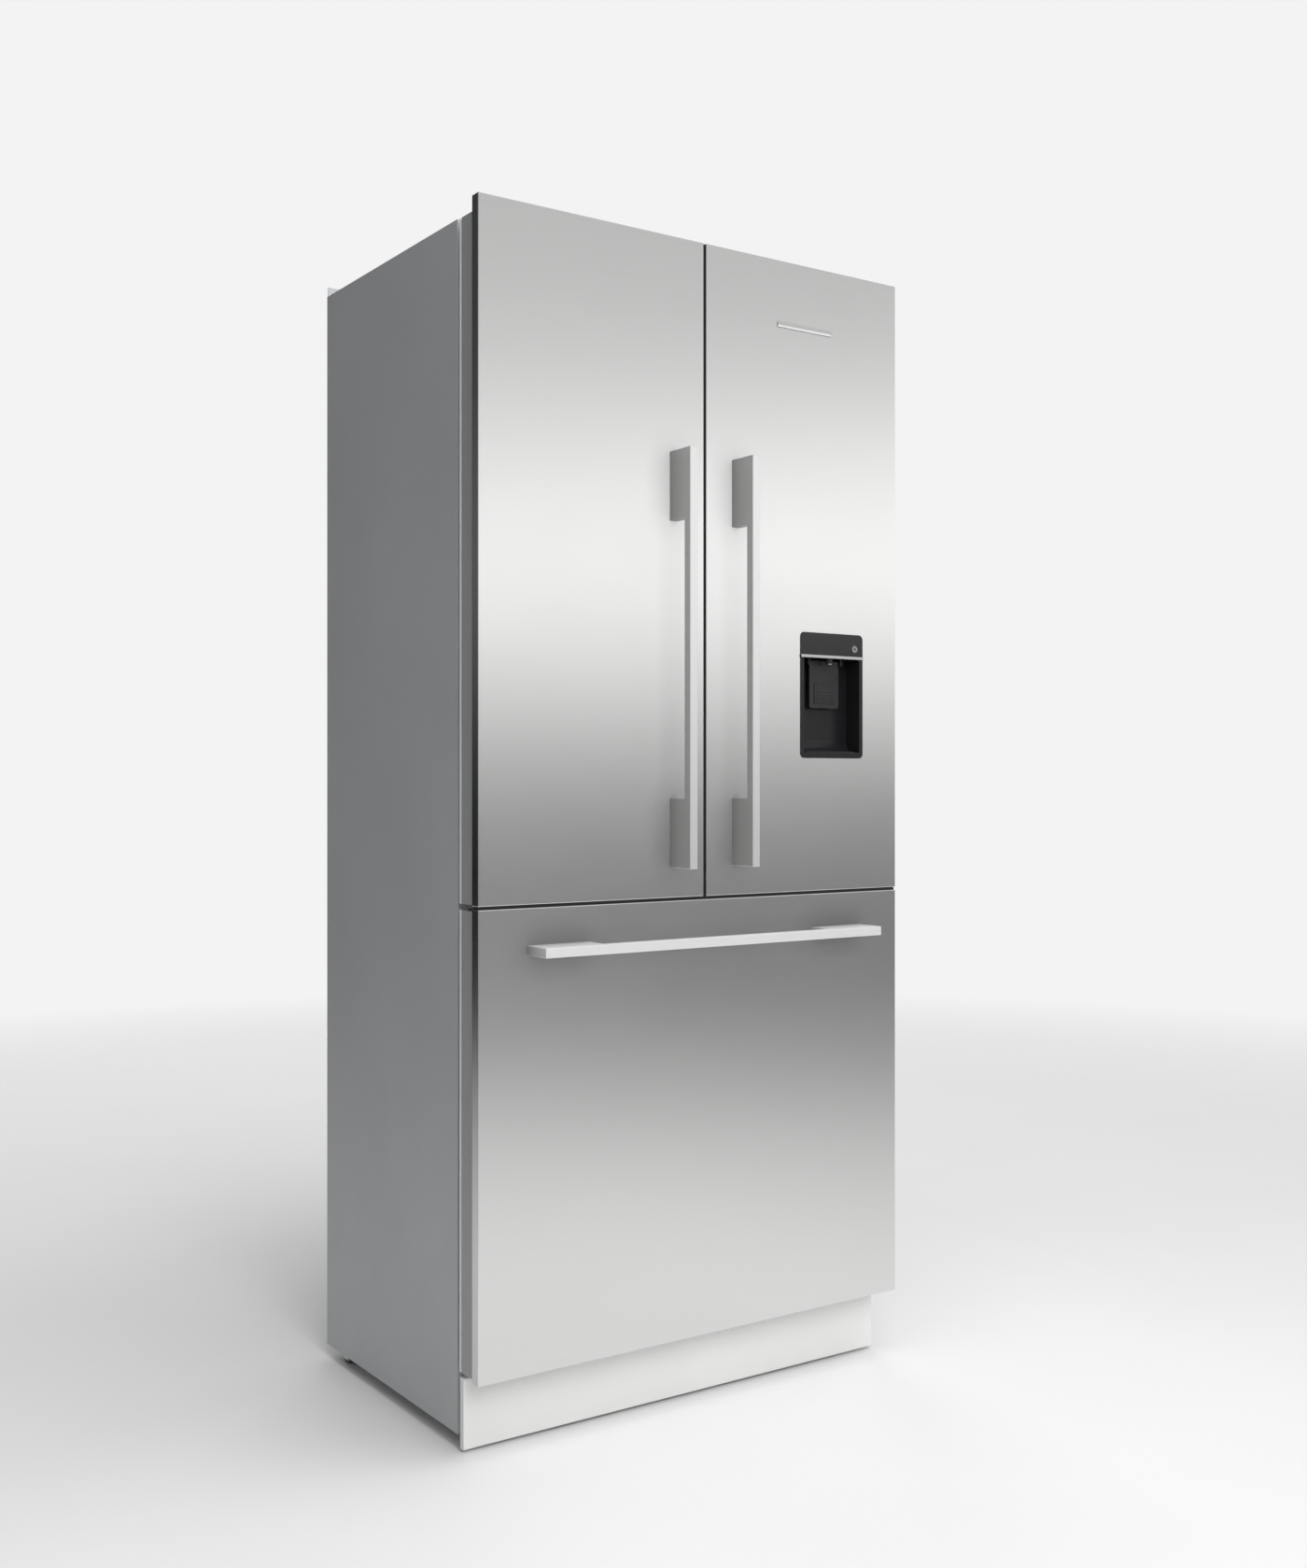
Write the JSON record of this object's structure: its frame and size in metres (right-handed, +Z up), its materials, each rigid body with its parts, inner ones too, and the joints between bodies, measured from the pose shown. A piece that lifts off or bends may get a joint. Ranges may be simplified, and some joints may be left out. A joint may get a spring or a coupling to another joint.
{
  "type": "french door refrigerator",
  "caption": "Built-in refrigerator with paired hinged upper doors over a freezer drawer, flat steel fronts, bar handles and a recessed water dispenser.",
  "frame": {"origin": "on the floor below the middle of the overall box", "axes": "+Z up, -Y out of the front towards the user, +X to the user's right when facing the doors"},
  "size_m": [0.896, 0.67, 2.032],
  "materials": {
    "stainless": "horizontally brushed",
    "handle_steel": "fine brushed",
    "case_steel": "satin grey",
    "kick_white": "satin white",
    "black_steel": "satin black",
    "zinc_steel": "zinc plated",
    "foam": "rigid foam",
    "door_shell": "satin grey skin over rigid foam",
    "liner_white": "smooth white",
    "clear_plastic": "clear",
    "shelf_trim": "smooth pale grey",
    "glass": "clear toughened glass",
    "seal_grey": "soft grey",
    "black_gloss": "gloss black",
    "black_matte": "matt black",
    "button_grey": "smooth mid grey",
    "bright_metal": "polished",
    "fin_aluminium": "bare",
    "roller_plastic": "hard plastic"
  },
  "bodies": {
    "cabinet": {"side_panel_left": "case_steel", "side_panel_right": "case_steel", "top_panel": "case_steel", "back_panel": "zinc_steel", "cabinet_insulation": "foam", "fridge_liner": "liner_white", "freezer_liner": "liner_white", "cross_rail": "case_steel", "base_chassis": "zinc_steel", "toe_kick": "kick_white", "compressor": "black_steel", "condenser": "black_steel", "fan_motor": "black_matte", "drip_pan": "black_matte", "water_inlet": "liner_white", "power_inlet": "black_matte", "machine_cover": "case_steel", "top_hinges": "zinc_steel", "middle_hinges": "zinc_steel", "shelf_frames": "shelf_trim", "shelf_glass": "glass", "fridge_duct_cover": "liner_white", "evaporator_cover": "liner_white", "evaporator": "fin_aluminium", "freezer_slide_outers": "zinc_steel"},
    "left_door_group": {"left_fascia": "stainless", "left_door": "door_shell", "left_door_liner": "liner_white", "left_seal": "seal_grey", "left_handle": "handle_steel", "left_door_bins": "clear_plastic"},
    "mullion_flap": {"mullion": "shelf_trim"},
    "right_door_group": {"right_fascia": "stainless", "right_door": "door_shell", "right_door_liner": "liner_white", "right_seal": "seal_grey", "right_handle": "handle_steel", "right_door_bins": "clear_plastic", "dispenser_housing": "black_gloss", "dispenser_spout": "bright_metal"},
    "paddle": {"dispenser_paddle": "black_matte"},
    "button": {"dispenser_button": "button_grey"},
    "freezer_drawer": {"drawer_fascia": "stainless", "drawer_door": "door_shell", "drawer_liner": "liner_white", "drawer_seal": "seal_grey", "drawer_handle": "handle_steel", "freezer_basket": "shelf_trim", "freezer_slide_inners": "zinc_steel"},
    "middle_slides": {"freezer_slide_middles": "zinc_steel"},
    "upper_tray": {"freezer_tray": "shelf_trim"},
    "crisper_left_group": {"left_crisper": "clear_plastic"},
    "crisper_right_group": {"right_crisper": "clear_plastic"},
    "fan_wheel": {"condenser_fan": "black_matte"},
    "foot_left_group": {"foot_left": "zinc_steel"},
    "foot_right_group": {"foot_right": "zinc_steel"},
    "roller_left_group": {"roller_left": "roller_plastic"},
    "roller_right_group": {"roller_right": "roller_plastic"}
  },
  "joints": [
    {"name": "left_door_hinge", "type": "hinge", "parent": "cabinet", "child": "left_door_group", "pos_m": [-0.426, -0.243, 1.45], "axis": [0, 0, -1], "range_deg": [0, 115]},
    {"name": "mullion_fold", "type": "hinge", "parent": "left_door_group", "child": "mullion_flap", "pos_m": [-0.024, -0.185, 1.45], "axis": [0, 0, -1], "range_deg": [0, 90]},
    {"name": "right_door_hinge", "type": "hinge", "parent": "cabinet", "child": "right_door_group", "pos_m": [0.426, -0.243, 1.45], "axis": [0, 0, 1], "range_deg": [0, 115]},
    {"name": "dispenser_paddle_hinge", "type": "hinge", "parent": "right_door_group", "child": "paddle", "pos_m": [0.29, -0.251, 1.312], "axis": [1, 0, 0], "range_deg": [0, 6], "stiffness_Nm_per_rad": 0.6, "springref_deg": -2.86},
    {"name": "dispenser_button_press", "type": "slide", "parent": "right_door_group", "child": "button", "axis": [0, 1, 0], "range_m": [0, 0.0012], "stiffness_N_per_m": 400, "springref_m": -0.001},
    {"name": "freezer_drawer_slide", "type": "slide", "parent": "cabinet", "child": "freezer_drawer", "axis": [0, -1, 0], "range_m": [0, 0.45]},
    {"name": "freezer_slide_extend", "type": "slide", "parent": "cabinet", "child": "middle_slides", "axis": [0, -1, 0], "range_m": [0, 0.23]},
    {"name": "freezer_tray_slide", "type": "slide", "parent": "cabinet", "child": "upper_tray", "axis": [0, -1, 0], "range_m": [0, 0.23]},
    {"name": "left_crisper_slide", "type": "slide", "parent": "cabinet", "child": "crisper_left_group", "axis": [0, -1, 0], "range_m": [0, 0.17]},
    {"name": "right_crisper_slide", "type": "slide", "parent": "cabinet", "child": "crisper_right_group", "axis": [0, -1, 0], "range_m": [0, 0.17]},
    {"name": "condenser_fan_spin", "type": "hinge", "parent": "cabinet", "child": "fan_wheel", "pos_m": [-0.09367, 0.24, 0.112], "axis": [1, 0, 0], "continuous": true},
    {"name": "foot_left_turn", "type": "hinge", "parent": "cabinet", "child": "foot_left_group", "pos_m": [-0.382, -0.123, 0.02], "axis": [0, 0, 1], "continuous": true},
    {"name": "foot_right_turn", "type": "hinge", "parent": "cabinet", "child": "foot_right_group", "pos_m": [0.382, -0.123, 0.02], "axis": [0, 0, 1], "continuous": true},
    {"name": "roller_left_spin", "type": "hinge", "parent": "cabinet", "child": "roller_left_group", "pos_m": [-0.412, 0.283, 0.02], "axis": [1, 0, 0], "continuous": true},
    {"name": "roller_right_spin", "type": "hinge", "parent": "cabinet", "child": "roller_right_group", "pos_m": [0.412, 0.283, 0.02], "axis": [1, 0, 0], "continuous": true}
  ],
  "couplings": [
    {"joint": "freezer_slide_extend", "follows": "freezer_drawer_slide", "ratio": 0.5},
    {"joint": "freezer_tray_slide", "follows": "freezer_drawer_slide", "ratio": 0.5},
    {"joint": "left_crisper_slide", "follows": "left_door_hinge", "m_per_rad": 0.0825},
    {"joint": "right_crisper_slide", "follows": "right_door_hinge", "m_per_rad": 0.0825}
  ]
}
